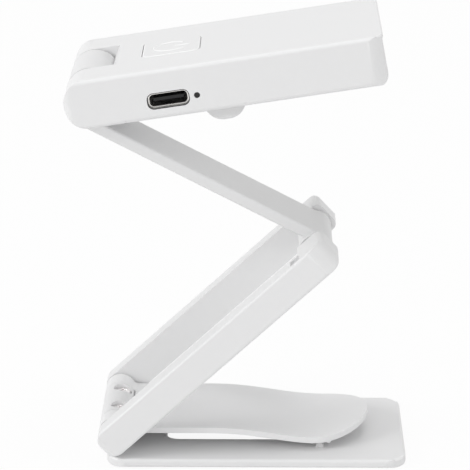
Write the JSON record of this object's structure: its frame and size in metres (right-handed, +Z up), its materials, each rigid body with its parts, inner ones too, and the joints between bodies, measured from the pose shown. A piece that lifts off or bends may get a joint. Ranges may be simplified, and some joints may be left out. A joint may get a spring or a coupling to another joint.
{
  "type": "folding led desk lamp",
  "caption": "Pocket-size LED lamp: a flat base with a sprung clip, two friction-hinged arms and a slim lamp head with button and charging port, folding into a flat stack.",
  "frame": {"origin": "centre of the base plate's outline, on the underside of its pad", "axes": "+X along the base away from its hinge, +Y across the lamp towards its back, +Z up"},
  "size_m": [0.0763, 0.0382, 0.101],
  "materials": {
    "white_plastic": "fine satin texture",
    "head_plastic": "fine satin texture",
    "arm_plastic": "fine satin texture",
    "strap_plastic": "fine satin texture",
    "clip_plastic": "fine satin texture",
    "button_plastic": "satin with a printed power symbol",
    "pad_rubber": "matt, fine grain",
    "weight_steel": "rolled sheet",
    "pin_steel": "ground",
    "screw_steel": "bright zinc",
    "spring_steel": "drawn wire",
    "port_steel": "satin nickel",
    "washer_nylon": "smooth",
    "opal_plastic": "opal diffusing",
    "frame_plastic": "reflecting white",
    "board_green": "solder mask",
    "led_white": "moulded",
    "tape": "film",
    "battery_foil": "pouch foil",
    "foam": "open cell",
    "black_plastic": "moulded",
    "smoke_plastic": "dark, lets light through"
  },
  "bodies": {
    "base": {"base_plate": "white_plastic", "base_weight": "weight_steel", "base_pad": "pad_rubber", "hinge_block": "white_plastic", "base_screws": "screw_steel", "base_shaft": "pin_steel", "clip_springs": "spring_steel"},
    "clip": {"clip_paddle": "clip_plastic"},
    "lower_arm": {"arm_rail_front": "arm_plastic", "arm_rail_rear": "arm_plastic", "elbow_shaft": "pin_steel", "elbow_washers": "washer_nylon"},
    "upper_arm": {"upper_arm": "strap_plastic"},
    "head": {"head_housing": "head_plastic", "head_cover": "head_plastic", "cover_screws": "screw_steel", "head_shaft": "pin_steel", "head_washers": "washer_nylon", "diffuser": "opal_plastic", "reflector_frame": "frame_plastic", "led_board": "board_green", "leds": "led_white", "battery_tape": "tape", "battery": "battery_foil", "battery_foam": "foam", "main_board": "board_green", "usb_shell": "port_steel", "usb_tongue": "black_plastic", "port_gasket": "black_plastic", "indicator_pipe": "smoke_plastic", "switch_body": "black_plastic", "fold_bumper": "head_plastic"},
    "button": {"button_cap": "button_plastic", "switch_plunger": "black_plastic"}
  },
  "joints": [
    {"name": "base_hinge", "type": "hinge", "parent": "base", "child": "lower_arm", "pos_m": [-0.03245, 0, 0.00654], "axis": [0, -1, 0], "range_deg": [-42.8, 77.2]},
    {"name": "elbow_hinge", "type": "hinge", "parent": "lower_arm", "child": "upper_arm", "pos_m": [0.01337, 0, 0.04897], "axis": [0, 1, 0], "range_deg": [-68, 99.6]},
    {"name": "head_hinge", "type": "hinge", "parent": "upper_arm", "child": "head", "pos_m": [-0.03655, 0, 0.08568], "axis": [0, -1, 0], "range_deg": [-35.2, 143.6]},
    {"name": "clip_hinge", "type": "hinge", "parent": "base", "child": "clip", "pos_m": [-0.03245, 0, 0.00654], "axis": [0, -1, 0], "range_deg": [0, 30], "stiffness_Nm_per_rad": 0.06, "springref_deg": -34.38},
    {"name": "button_press", "type": "slide", "parent": "head", "child": "button", "axis": [0.153, 0, -0.9882], "range_m": [0, 0.00035], "stiffness_N_per_m": 3000}
  ]
}
